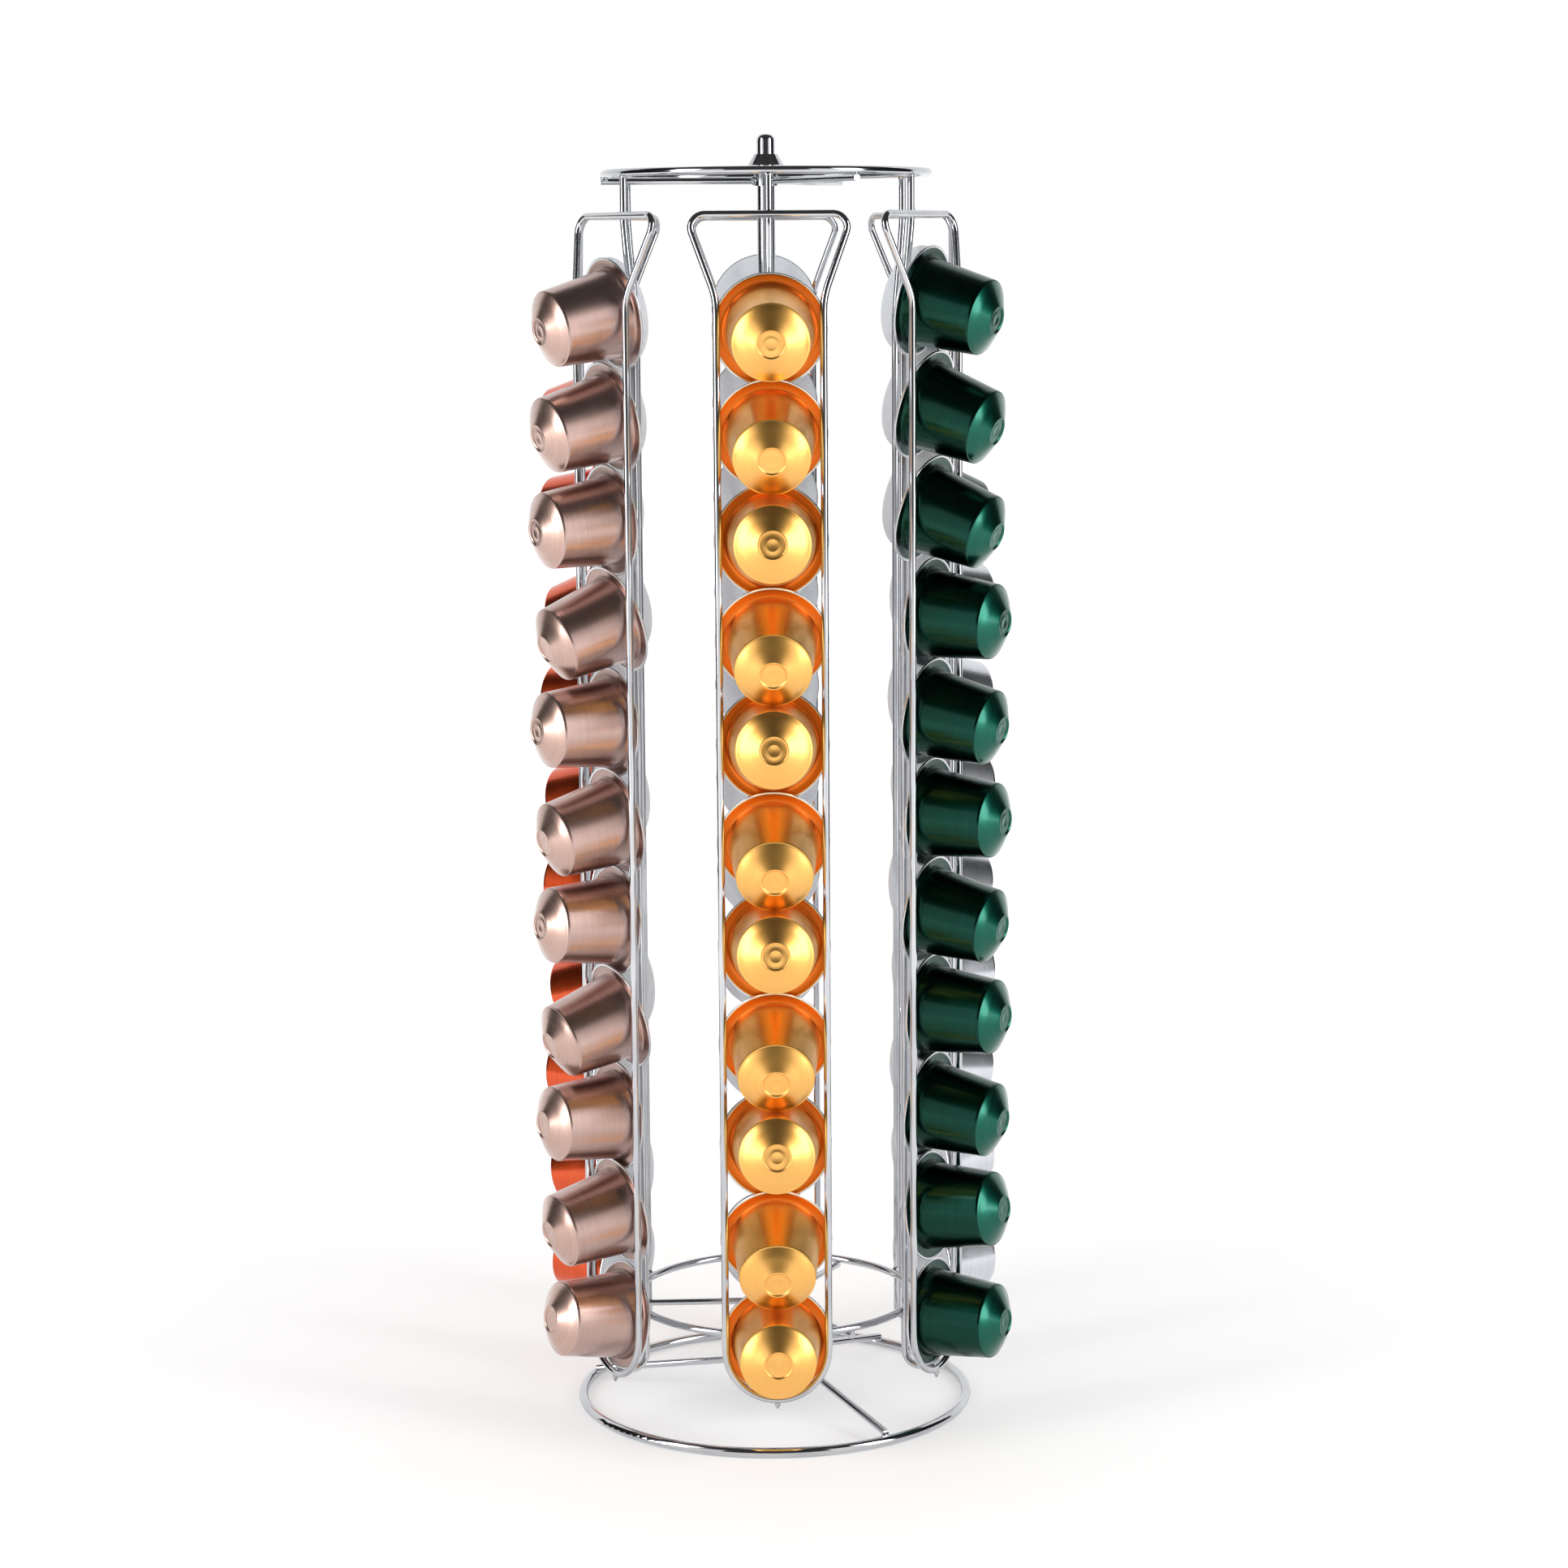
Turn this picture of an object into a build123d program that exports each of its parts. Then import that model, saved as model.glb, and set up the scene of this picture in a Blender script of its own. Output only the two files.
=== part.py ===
from build123d import *
import os
from math import cos, radians, sin, sqrt, tan

os.makedirs("parts", exist_ok=True)

# Driving dimensions, in millimetres. Angles are in degrees, and run from the front towards the right.

# Small gaps between pieces
weld_gap = 0.05
running_gap = 0.08
thrust_gap = 0.05
capsule_gap = 0.15
back_play = 0.42
collar_gap = 0.3
top_capsule_setback = 1.5
nose_up_setback = 0.6

# Capsule, measured along its axis from the lid
capsule_body_r = 14.75
capsule_shoulder_r = 12.5
capsule_nose_r = 4.6
capsule_shoulder_height = 24.2
capsule_length = 28.5
flange_width = 3.8
flange_web = 0.4
rim_width = 0.85
rim_thickness = 1.0
foil_thickness = 0.2
foil_margin = 0.35
cup_wall = 0.8
nose_recess_depth = 0.5
nose_lip = 0.6

# Base: each leg passes beside the post, and its outer end butts on the inside of the ring
base_ring_r = 66.9
base_ring_wire_r = 1.7
rest_flat_depth = 0.1
leg_wire_r = 1.25
leg_slope = 9.5
leg_seat_angle = 38
leg_tail = 2.0
leg_angles = {"front_right": 29.8, "rear_right": 140, "left": 249}

# Post and what it carries
post_r = 3.0
post_below_legs = 1.2
post_above_collar = 6.6
post_dome = 2.0
stop_collar_r = 5.5
stop_collar_height = 4.0
washer_r = 5.0
washer_thickness = 1.5
collar_bottom_r = 6.0
collar_top_r = 3.85
collar_height = 3.6

# Cage rings, hubs and spokes
top_ring_r = 54.0
ring_wire_r = 1.3
spoke_wire_r = 1.1
spoke_overhang = 1.0
lower_hub_wall = 1.12
lower_hub_above_ring = 1.5
top_hub_wall = 1.02
top_hub_above_ring = 2.4
top_hub_below_ring = 4.1
spoke_angles = {"left": -88.7, "front_right": 31.3, "rear_right": 151.3}

# Column wires
loop_wire_r = 1.2
loop_plane_r = 63.3
loop_side_gap = 1.15
lower_ring_above_hub_end = 14.3
lower_ring_above_foot = 17.7
mouth_above_top_capsule = 28.1
mouth_half_width = 26.8
mouth_corner_r = 4.5
flare_drop = 26.4
flare_bend_r = 20.0
hanger_outset = 0.2
hanger_length = 15.0
hanger_slope_drop = 32.0
hanger_bend_r = 25.0
foot_bend_r = 5.0
top_ring_above_mouth = 13.9

# Columns: their names in order of angle, and the nose-down tilt of each capsule from the bottom up
column_names = ["front", "front_right", "rear_right", "rear", "rear_left", "front_left"]
front_tilts = [0, 17.5, -4.5, 17, -4, 18, -4, 18, -1.5, 15, 8.5]
left_tilts = [-6, 9.5, 0, 15.5, -1.5, 11, 2, 18, 6, 13, 11.5]
right_tilts = [0, -4, 7, 2, 9, 3, 9.5, 5, 18, 18, 13]
rear_tilts = [0, 0, 9, 0, 12, 0, 12, 0, 15, 12, 9]
column_tilts = {
    "front": front_tilts,
    "front_right": right_tilts,
    "rear_right": right_tilts,
    "rear": rear_tilts,
    "rear_left": left_tilts,
    "front_left": left_tilts,
}
# Columns that hold capsules of another colour just below their top one, and how many
other_colour_columns = ["rear_right"]
other_colour_count = 2

# Sizes that follow from those above
column_step = 360 / len(column_names)
columns = {name: place * column_step for place, name in enumerate(column_names)}
base_ring_z = base_ring_wire_r - rest_flat_depth
flange_r = capsule_body_r + flange_width
loop_half_width = capsule_body_r + loop_side_gap + loop_wire_r
steepest_tilt = max(max(tilts) for tilts in column_tilts.values())
leg_offset = post_r + leg_wire_r + weld_gap
leg_slope_turn = radians(leg_slope)
leg_seat_turn = radians(leg_seat_angle)
seat_reach = base_ring_wire_r + weld_gap
leg_end_along = (
    sqrt(base_ring_r**2 - leg_offset**2)
    - seat_reach * cos(leg_seat_turn)
    + leg_wire_r * sin(leg_slope_turn)
)
leg_end_z = base_ring_z + seat_reach * sin(leg_seat_turn) + leg_wire_r * cos(leg_slope_turn)
leg_post_z = leg_end_z + leg_end_along * tan(leg_slope_turn)
leg_tail_z = leg_post_z + leg_tail * tan(leg_slope_turn)
post_bottom = leg_post_z - leg_wire_r - post_below_legs
stop_collar_bottom = leg_tail_z + leg_wire_r + weld_gap
stop_collar_top = stop_collar_bottom + stop_collar_height
washer_top = stop_collar_top + washer_thickness
hub_bore_r = post_r + running_gap
lower_hub_r = hub_bore_r + lower_hub_wall
lower_hub_bottom = washer_top + thrust_gap
lower_ring_z = lower_hub_bottom + lower_ring_above_hub_end
lower_hub_top = lower_ring_z + lower_hub_above_ring
foot_height = lower_ring_z - lower_ring_above_foot
foot_top = foot_height + loop_wire_r


def at_column(angle, across, outward, height):
    """A point by its place across a column, its distance from the post's axis and its height."""
    turn = radians(angle)
    x = across * cos(turn) + outward * sin(turn)
    y = across * sin(turn) - outward * cos(turn)
    return Vector(x, y, height)


def lid_place(tilt):
    """Distance from the post's axis to the lid's centre, where the flange leans on the front wires."""
    lean = radians(abs(tilt))
    reach = loop_wire_r + capsule_gap
    steps = 16
    places = []
    for step in range(1 - steps, steps):
        offset = reach * step / steps
        across = loop_half_width + offset
        if across < flange_r:
            wire_back = loop_plane_r - sqrt(reach**2 - offset**2)
            half_chord = sqrt(flange_r**2 - across**2)
            places.append(wire_back - rim_thickness * cos(lean) - half_chord * sin(lean))
    return min(places)


def side_outline(tilt, setback):
    """The capsule's outline seen from the side, as points of distance from the axis and height."""
    profile = [
        (0, flange_r),
        (rim_thickness, flange_r),
        (rim_thickness, capsule_body_r),
        (capsule_shoulder_height, capsule_shoulder_r),
        (capsule_length, capsule_nose_r),
    ]
    outline = profile + [(along, -up) for along, up in reversed(profile)]
    lean = radians(tilt)
    place = lid_place(tilt) - setback
    return [
        (place + along * cos(lean) + up * sin(lean), up * cos(lean) - along * sin(lean))
        for along, up in outline
    ]


def heights_at(outline, outward):
    """Every height at which a side outline crosses this distance from the axis."""
    heights = []
    for start, end in zip(outline, outline[1:] + outline[:1]):
        low, high = sorted([start, end])
        if low[0] <= outward <= high[0]:
            if low[0] == high[0]:
                heights += [low[1], high[1]]
            else:
                share = (outward - low[0]) / (high[0] - low[0])
                heights.append(low[1] + share * (high[1] - low[1]))
    return heights


def stack_rise(lower_stance, upper_stance):
    """The rise from one capsule to the next, each by its tilt and how far it stands back."""
    lower = side_outline(*lower_stance)
    upper = side_outline(*upper_stance)
    rises = []
    for shift, lift in [(-capsule_gap, 0), (0, capsule_gap), (capsule_gap, 0)]:
        stations = [outward for outward, _ in upper]
        stations += [outward - shift for outward, _ in lower]
        for outward in stations:
            under = heights_at(lower, outward + shift)
            over = heights_at(upper, outward)
            if under and over:
                rises.append(max(under) + lift - min(over))
    return max(rises)


def stances(tilts):
    """Each capsule's tilt in a column, and how far it stands back from the front wires.

    The top one does, and so does a bottom one whose nose points up, to clear the curve of the loop.
    """
    setbacks = [0] * len(tilts)
    setbacks[-1] = top_capsule_setback
    if tilts[0] < 0:
        setbacks[0] = nose_up_setback
    return list(zip(tilts, setbacks))


def stack_heights(tilts):
    """The height of each lid's centre in a column, from the bottom up."""
    heights = [foot_top + capsule_gap + flange_r * cos(radians(tilts[0]))]
    for lower, upper in zip(stances(tilts), stances(tilts)[1:]):
        heights.append(heights[-1] + stack_rise(lower, upper))
    return heights


def capsule_places(column):
    """Where each capsule of a column sits, from the bottom up, with its lid towards the post."""
    angle = columns[column]
    tilts = column_tilts[column]
    places = []
    for (tilt, setback), height in zip(stances(tilts), stack_heights(tilts)):
        lid_centre = at_column(angle, 0, lid_place(tilt) - setback, height)
        across = at_column(angle, 1, 0, 0)
        outward = at_column(angle, 0, cos(radians(tilt)), -sin(radians(tilt)))
        places.append(Plane(origin=lid_centre, x_dir=across, z_dir=outward).location)
    return places


def save(part, name):
    """Name a finished piece and write it to its own file."""
    part.label = name
    export_step(part, f"parts/{name}.step")


# Sizes that follow from how the capsules stack
back_wire_r = (
    lid_place(steepest_tilt) - flange_r * sin(radians(steepest_tilt)) - loop_wire_r - back_play
)
lower_ring_r = back_wire_r - loop_wire_r - ring_wire_r - weld_gap
mouth_height = max(stack_heights(tilts)[-1] for tilts in column_tilts.values()) + mouth_above_top_capsule
straight_top = mouth_height - flare_drop
hanger_r = top_ring_r + hanger_outset
mouth_r = hanger_r + 2 * loop_wire_r + weld_gap
top_ring_z = mouth_height + top_ring_above_mouth
top_hub_r = hub_bore_r + top_hub_wall
top_hub_bottom = top_ring_z - top_hub_below_ring
top_hub_top = top_ring_z + top_hub_above_ring
collar_bottom = top_hub_top + collar_gap
collar_top = collar_bottom + collar_height
post_top = collar_top + post_above_collar

# Base ring: a round wire with a narrow flat underneath, on which it rests
with BuildPart() as base_ring:
    with BuildSketch(Plane.XZ):
        with Locations((base_ring_r, base_ring_z)):
            Circle(base_ring_wire_r)
    revolve(axis=Axis.Z)
    split(bisect_by=Plane.XY)
save(base_ring.part, "base_ring")

# Base legs: straight wires that rise from the ring and pass beside the post, which they are welded to
for side, angle in leg_angles.items():
    with BuildPart() as base_leg:
        with BuildLine() as leg_line:
            Line(
                at_column(angle, leg_offset, leg_end_along, leg_end_z),
                at_column(angle, leg_offset, -leg_tail, leg_tail_z),
            )
        with BuildSketch(leg_line.line ^ 0):
            Circle(leg_wire_r)
        sweep()
    save(base_leg.part, f"base_leg_{side}")


def save_tube(name, inner_r, outer_r, bottom, top):
    """A hub, washer or bush: a plain tube about the post's axis."""
    with BuildPart() as tube:
        with BuildSketch(Plane.XY.offset(bottom)):
            Circle(outer_r)
            Circle(inner_r, mode=Mode.SUBTRACT)
        extrude(amount=top - bottom)
    save(tube.part, name)


save_tube("stop_collar", post_r + weld_gap, stop_collar_r, stop_collar_bottom, stop_collar_top)
save_tube("thrust_washer", hub_bore_r, washer_r, stop_collar_top, washer_top)
save_tube("lower_hub", hub_bore_r, lower_hub_r, lower_hub_bottom, lower_hub_top)
save_tube("top_hub", hub_bore_r, top_hub_r, top_hub_bottom, top_hub_top)

# Centre post, with a rounded top end
with BuildPart() as centre_post:
    with BuildSketch(Plane.XY.offset(post_bottom)):
        Circle(post_r)
    extrude(amount=post_top - post_bottom)
    fillet(centre_post.edges().group_by(Axis.Z)[-1], radius=post_dome)
save(centre_post.part, "centre_post")

# Retaining collar: a cone fixed on the post above the top hub, so that the cage can't lift off
with BuildPart() as retaining_collar:
    with BuildSketch(Plane.XY.offset(collar_bottom)):
        Circle(collar_bottom_r)
    with BuildSketch(Plane.XY.offset(collar_top)):
        Circle(collar_top_r)
    loft()
    with BuildSketch(Plane.XY.offset(collar_bottom)):
        Circle(post_r + weld_gap)
    extrude(amount=collar_height, mode=Mode.SUBTRACT)
save(retaining_collar.part, "retaining_collar")


def save_ring(name, ring_r, height):
    """A closed ring of round wire about the post's axis."""
    with BuildPart() as ring:
        with BuildSketch(Plane.XZ):
            with Locations((ring_r, height)):
                Circle(ring_wire_r)
        revolve(axis=Axis.Z)
    save(ring.part, name)


def save_spokes(end, inner_r, outer_r, height):
    """The straight wires that join a ring of the cage to its hub, each in its own file."""
    for side, angle in spoke_angles.items():
        start = at_column(angle, 0, inner_r, height)
        outward = at_column(angle, 0, 1, 0)
        with BuildPart() as spoke:
            with BuildSketch(Plane(origin=start, z_dir=outward)):
                Circle(spoke_wire_r)
            extrude(amount=outer_r - inner_r)
        save(spoke.part, f"{end}_spoke_{side}")


spoke_drop = ring_wire_r + spoke_wire_r + weld_gap
spoke_start = spoke_wire_r / 2
save_ring("top_ring", top_ring_r, top_ring_z)
save_spokes("top", top_hub_r + spoke_start, top_ring_r + spoke_overhang, top_ring_z - spoke_drop)
save_ring("lower_ring", lower_ring_r, lower_ring_z)
save_spokes("lower", lower_hub_r + spoke_start, lower_ring_r + spoke_overhang, lower_ring_z - spoke_drop)

# Back wires: one behind each column, from the top ring down and out under the column as its foot
hanger_top = top_ring_z - ring_wire_r - weld_gap
slope_top = hanger_top - hanger_length
slope_bottom = slope_top - hanger_slope_drop
foot_end_r = loop_plane_r - loop_wire_r - weld_gap
for column, angle in columns.items():
    with BuildPart() as back_wire:
        with BuildLine() as back_line:
            FilletPolyline(
                at_column(angle, 0, hanger_r, hanger_top),
                at_column(angle, 0, hanger_r, slope_top),
                at_column(angle, 0, back_wire_r, slope_bottom),
                at_column(angle, 0, back_wire_r, foot_height),
                at_column(angle, 0, foot_end_r, foot_height),
                radius=[hanger_bend_r, hanger_bend_r, foot_bend_r],
            )
        with BuildSketch(back_line.line ^ 0):
            Circle(loop_wire_r)
        sweep()
    save(back_wire.part, f"back_wire_{column}")

# Front loops: a U at the bottom, two straight wires and a mouth that flares under a top bar.
# Half of each loop is swept, and mirrored across the middle of its column.
u_middle = loop_half_width * sin(radians(45))
for column, angle in columns.items():
    with BuildPart() as front_loop:
        with BuildLine() as loop_line:
            ThreePointArc(
                at_column(angle, 0, loop_plane_r, foot_height),
                at_column(angle, u_middle, loop_plane_r, foot_height + loop_half_width - u_middle),
                at_column(angle, loop_half_width, loop_plane_r, foot_height + loop_half_width),
            )
            FilletPolyline(
                at_column(angle, loop_half_width, loop_plane_r, foot_height + loop_half_width),
                at_column(angle, loop_half_width, loop_plane_r, straight_top),
                at_column(angle, mouth_half_width, mouth_r, mouth_height),
                at_column(angle, 0, mouth_r, mouth_height),
                radius=[flare_bend_r, mouth_corner_r],
            )
        with BuildSketch(loop_line.line ^ 0):
            Circle(loop_wire_r)
        sweep()
        mirror(about=Plane(origin=(0, 0, 0), z_dir=at_column(angle, 1, 0, 0)))
    save(front_loop.part, f"front_loop_{column}")

# Capsule cup: a thin truncated cone with a recessed nose disc and a rolled flange, open at the lid
cup_mouth_r = capsule_body_r - cup_wall
nose_floor = capsule_length - nose_recess_depth
with BuildPart() as capsule_cup:
    with BuildSketch(Plane.XZ):
        with BuildLine():
            Polyline(
                (cup_mouth_r, foil_thickness),
                (flange_r, foil_thickness),
                (flange_r, rim_thickness),
                (flange_r - rim_width, rim_thickness),
                (flange_r - rim_width, foil_thickness + flange_web),
                (capsule_body_r, foil_thickness + flange_web),
                (capsule_shoulder_r, capsule_shoulder_height),
                (capsule_nose_r, capsule_length),
                (capsule_nose_r - nose_lip, nose_floor),
                (0, nose_floor),
                (0, nose_floor - cup_wall),
                (capsule_nose_r - cup_wall, nose_floor - cup_wall),
                (capsule_shoulder_r - cup_wall, capsule_shoulder_height - nose_recess_depth),
                close=True,
            )
        make_face()
    revolve(axis=Axis.Z)

# Capsule lid: a foil disc that closes the cup
with BuildPart() as capsule_lid:
    with BuildSketch(Plane.XY):
        Circle(flange_r - foil_margin)
    extrude(amount=foil_thickness)


def save_capsules(name, capsule_piece, places):
    """Copies of the cup or the lid at these places in a column, in one file."""
    with BuildPart() as pieces:
        with Locations(*places):
            add(capsule_piece)
    save(pieces.part, name)


# Capsules: the top one of each column lifts out, and the ones below it stay in the column
for column in columns:
    places = capsule_places(column)
    split_at = len(places) - 1
    if column in other_colour_columns:
        split_at -= other_colour_count
    save_capsules(f"capsules_{column}", capsule_cup.part, places[:split_at])
    save_capsules(f"lids_{column}", capsule_lid.part, places[:-1])
    if column in other_colour_columns:
        save_capsules(f"upper_capsules_{column}", capsule_cup.part, places[split_at:-1])
    save_capsules(f"top_capsule_{column}", capsule_cup.part, places[-1:])
    save_capsules(f"top_lid_{column}", capsule_lid.part, places[-1:])
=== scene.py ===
"""Looks of the rotating coffee capsule dispenser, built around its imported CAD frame."""

import logging
from dataclasses import dataclass, field
from enum import Enum, IntEnum
from math import atan2, cos, pi, radians, sin
from random import Random

import bmesh
import bpy
import numpy as np
from mathutils import Matrix, Vector


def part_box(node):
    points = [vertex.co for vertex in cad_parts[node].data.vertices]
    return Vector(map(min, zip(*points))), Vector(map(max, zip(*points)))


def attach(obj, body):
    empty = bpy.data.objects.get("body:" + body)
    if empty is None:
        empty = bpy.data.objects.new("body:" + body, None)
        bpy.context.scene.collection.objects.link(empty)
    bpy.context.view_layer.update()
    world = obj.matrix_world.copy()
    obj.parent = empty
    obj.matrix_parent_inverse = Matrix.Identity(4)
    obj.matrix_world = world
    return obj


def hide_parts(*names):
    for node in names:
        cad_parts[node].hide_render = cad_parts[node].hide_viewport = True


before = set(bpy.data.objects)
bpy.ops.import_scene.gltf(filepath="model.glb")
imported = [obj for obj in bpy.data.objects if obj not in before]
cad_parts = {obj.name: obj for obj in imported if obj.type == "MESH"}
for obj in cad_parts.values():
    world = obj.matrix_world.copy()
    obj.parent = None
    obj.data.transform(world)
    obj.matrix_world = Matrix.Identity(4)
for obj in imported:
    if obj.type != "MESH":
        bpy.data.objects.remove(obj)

logging.basicConfig(level=logging.INFO, format="%(message)s")
log = logging.getLogger("capsule_dispenser")

MM = 0.001
ON_AXIS = 0.0001 * MM
GRAIN_MAP_LENGTH = 40 * MM

Pair = tuple[float, float]
Triple = tuple[float, float, float]
Colour = Triple
Profile = list[Pair]
Materials = dict[str, bpy.types.Material]

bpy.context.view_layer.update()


class CapsuleColour(Enum):
    """The anodised colours of the capsules."""

    GOLD = "gold"
    COPPER = "copper"
    GREEN = "green"
    RED = "red"
    SILVER = "silver"


class CupSlot(IntEnum):
    """The material slots of a cup."""

    SIDE = 0
    NOSE = 1
    RIM = 2


# Helpers for modelling


def deselect_all() -> None:
    """Leave nothing selected, in object mode."""
    if bpy.context.object and bpy.context.object.mode != "OBJECT":
        bpy.ops.object.mode_set(mode="OBJECT")
    bpy.ops.object.select_all(action="DESELECT")


def select_only(*pieces: bpy.types.Object) -> None:
    """Select these pieces alone, with the first one active.

    Args:
        pieces: the objects to select.
    """
    deselect_all()
    for piece in pieces:
        piece.select_set(True)
    bpy.context.view_layer.objects.active = pieces[0]


def select_ring(piece: bpy.types.Object, radius: float, height: float, reach: float = 0.03 * MM) -> None:
    """Select the edges of one turned ring by its place, in edit mode.

    Args:
        piece: the turned piece, whose axis is Z.
        radius: radius of the ring.
        height: height of the ring.
        reach: how far a vertex may lie from that place.
    """
    bpy.ops.mesh.select_mode(type="EDGE")
    mesh = bmesh.from_edit_mesh(piece.data)
    for edge in mesh.edges:
        edge.select_set(
            all(
                abs(vert.co.z - height) < reach and abs(vert.co.xy.length - radius) < reach
                for vert in edge.verts
            )
        )
    mesh.select_flush_mode()
    bmesh.update_edit_mesh(piece.data)


def turn(name: str, profile: Profile, segments: int) -> bpy.types.Object:
    """Turn a profile about Z, ring by ring, as a closed skin.

    Args:
        name: name of the new piece.
        profile: radius and height of each ring, in millimetres; the last one may be on the axis.
        segments: faces around the axis.

    Returns:
        The turned piece, left in object mode.
    """
    deselect_all()
    radius, height = profile[0]
    bpy.ops.mesh.primitive_circle_add(
        vertices=segments, radius=radius * MM, fill_type="NOTHING", location=(0, 0, height * MM)
    )
    piece = bpy.context.object
    piece.name = name
    bpy.ops.object.transform_apply(location=True, rotation=True, scale=True)
    bpy.ops.object.mode_set(mode="EDIT")
    bpy.ops.mesh.select_all(action="SELECT")
    for next_radius, next_height in profile[1:]:
        bpy.ops.mesh.extrude_edges_move(
            TRANSFORM_OT_translate={"value": (0, 0, (next_height - height) * MM)}
        )
        if next_radius > 0:
            share = next_radius / radius
            bpy.ops.transform.resize(
                value=(share, share, 1), center_override=(0, 0, next_height * MM)
            )
        else:
            bpy.ops.mesh.merge(type="CENTER")
        radius, height = next_radius, next_height
    bpy.ops.mesh.select_all(action="DESELECT")
    bpy.ops.mesh.select_mode(type="EDGE")
    bpy.ops.mesh.select_non_manifold()
    if any(edge.select for edge in bmesh.from_edit_mesh(piece.data).edges):
        bpy.ops.mesh.edge_face_add()
    bpy.ops.mesh.select_all(action="SELECT")
    bpy.ops.mesh.normals_make_consistent(inside=False)
    bpy.ops.object.mode_set(mode="OBJECT")
    return piece


def bevel_ring(piece: bpy.types.Object, ring: Pair, width: float, segments: int) -> None:
    """Round one turned ring of a piece.

    Args:
        piece: the turned piece.
        ring: radius and height of the ring, in millimetres.
        width: width of the bevel, in millimetres.
        segments: faces across the bevel.
    """
    select_only(piece)
    bpy.ops.object.mode_set(mode="EDIT")
    select_ring(piece, ring[0] * MM, ring[1] * MM)
    bpy.ops.mesh.bevel(offset=width * MM, segments=segments, profile=0.5)
    bpy.ops.object.mode_set(mode="OBJECT")


def smooth(piece: bpy.types.Object, angle: float = 35) -> None:
    """Shade a piece smooth where its faces meet at less than an angle.

    Args:
        piece: the piece to shade.
        angle: that angle, in degrees.
    """
    select_only(piece)
    bpy.ops.object.shade_smooth_by_angle(angle=radians(angle))


def copy_to(master: bpy.types.Object, place: Matrix, tone: float) -> bpy.types.Object:
    """Copy a master piece to a place, with a mesh and a tone of its own.

    Args:
        master: the piece to copy.
        place: where the copy goes.
        tone: a number from 0 to 1 that sets this copy a little apart in its finish.

    Returns:
        The copy, at the origin with its place in its mesh.
    """
    piece = master.copy()
    piece.data = master.data.copy()
    bpy.context.scene.collection.objects.link(piece)
    piece.data.transform(place)
    shade = piece.data.attributes.new("copy_tone", "FLOAT", "POINT")
    shade.data.foreach_set("value", np.full(len(piece.data.vertices), tone, np.float32))
    return piece


def join(name: str, pieces: list[bpy.types.Object]) -> bpy.types.Object:
    """Join pieces into one named piece.

    Args:
        name: name of the joined piece.
        pieces: the pieces to join.

    Returns:
        The joined piece.
    """
    select_only(*pieces)
    if len(pieces) > 1:
        bpy.ops.object.join()
    joined = bpy.context.view_layer.objects.active
    joined.name = name
    joined.data.name = name
    return joined


def keep_own_place(piece: bpy.types.Object) -> None:
    """Store each vertex's place on the unmoved piece, in millimetres, for its materials to follow.

    Args:
        piece: the piece, still on the Z axis.
    """
    own = piece.data.attributes.new("own_place", "FLOAT_VECTOR", "POINT")
    places = np.empty(len(piece.data.vertices) * 3, np.float32)
    piece.data.vertices.foreach_get("co", places)
    own.data.foreach_set("vector", places / MM)


def wrap_uv(piece: bpy.types.Object) -> None:
    """Give a turned piece a UV map that runs round its axis and along it, as its grain does.

    Args:
        piece: the turned piece, still on the Z axis.
    """
    layer = piece.data.uv_layers.new(name="round_and_along")
    verts = piece.data.vertices
    for face in piece.data.polygons:
        middle = atan2(face.center.y, face.center.x)
        for corner in face.loop_indices:
            co = verts[piece.data.loops[corner].vertex_index].co
            angle = middle if co.xy.length < ON_AXIS else atan2(co.y, co.x)
            angle += round((middle - angle) / (2 * pi)) * 2 * pi
            layer.data[corner].uv = (angle / (2 * pi), (co.z - co.xy.length) / GRAIN_MAP_LENGTH)


# Node groups and finishes


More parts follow.
